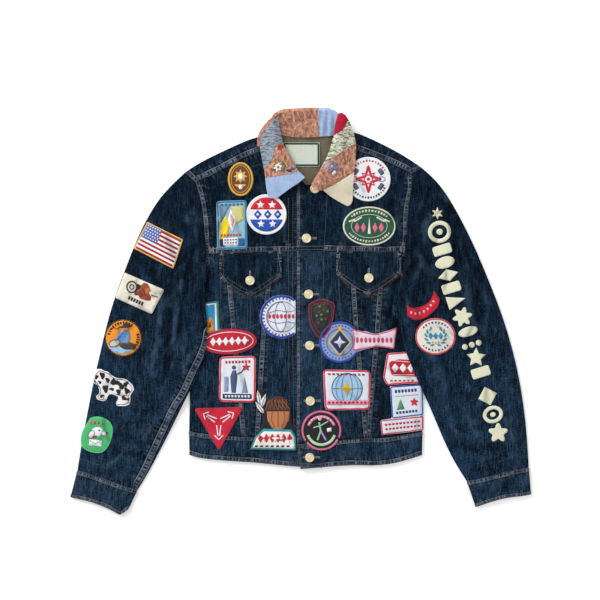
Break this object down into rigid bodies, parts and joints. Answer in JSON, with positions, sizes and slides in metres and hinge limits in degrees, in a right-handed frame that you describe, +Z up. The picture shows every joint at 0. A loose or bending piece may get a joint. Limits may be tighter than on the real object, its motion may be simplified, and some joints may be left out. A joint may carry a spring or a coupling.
{
  "type": "patched denim jacket, buttoned and laid flat",
  "caption": "Dark indigo denim jacket laid flat, with many embroidered patches and a collar pieced from quilted, printed and plain cloth.",
  "frame": {"origin": "centre of the jacket's footprint, on the surface it lies on", "axes": "+X to the viewer's right (the wearer's left), +Y towards the collar, +Z up from the surface to the viewer"},
  "size_m": [0.8736, 0.7704, 0.021],
  "materials": {
    "denim": "matt",
    "quilted_peach": "matt",
    "chambray": "matt",
    "cream_cloth": "matt",
    "red_cloth": "matt",
    "print_cloth": "matt",
    "facing": "matt",
    "label": "matt",
    "patch": "embroidered",
    "button": "satin"
  },
  "bodies": {
    "root": {"back_yoke": "denim", "back_panel": "denim", "front_yoke_right": "denim", "front_yoke_left": "denim", "front_side_right": "denim", "front_middle_right": "denim", "front_centre_right": "denim", "front_centre_left": "denim", "front_middle_left": "denim", "front_side_left": "denim", "waistband": "denim", "sleeve_right": "denim", "sleeve_left": "denim", "cuff_right": "denim", "cuff_left": "denim", "flap_right": "denim", "flap_left": "denim", "collar_back_quilted": "quilted_peach", "collar_edge_peach": "quilted_peach", "collar_leaf_right_quilted": "quilted_peach", "collar_leaf_left_quilted": "quilted_peach", "collar_back_chambray": "chambray", "collar_tip_right_chambray": "chambray", "collar_tip_left_cream": "cream_cloth", "collar_leaf_left_red": "red_cloth", "collar_print_grey": "print_cloth", "collar_leaf_left_print": "print_cloth", "neck_facing": "facing", "neck_label": "label", "patch_oval_gold": "patch", "patch_banner_teal": "patch", "patch_disc_red_blue": "patch", "patch_disc_white": "patch", "patch_oval_green": "patch", "patch_strip_and_oval_red": "patch", "patch_rect_flower": "patch", "patch_triangle_red": "patch", "patch_round_and_band": "patch", "patch_disc_blue_rim": "patch", "patch_disc_pink_rim": "patch", "patch_rect_globe": "patch", "patch_disc_and_bow": "patch", "patch_shield_dark": "patch", "patch_lozenge_red": "patch", "patch_rect_blue_and_strip": "patch", "patch_flag": "patch", "patch_rect_cream": "patch", "patch_disc_orange": "patch", "patch_cow": "patch", "patch_pebble_green": "patch", "patch_ribbon_red": "patch", "patch_disc_laurel": "patch", "button_front_1": "button", "button_front_2": "button", "button_front_3": "button", "button_front_4": "button", "button_front_5": "button", "button_front_6": "button", "button_flap_right": "button", "button_flap_left": "button"}
  },
  "joints": []
}
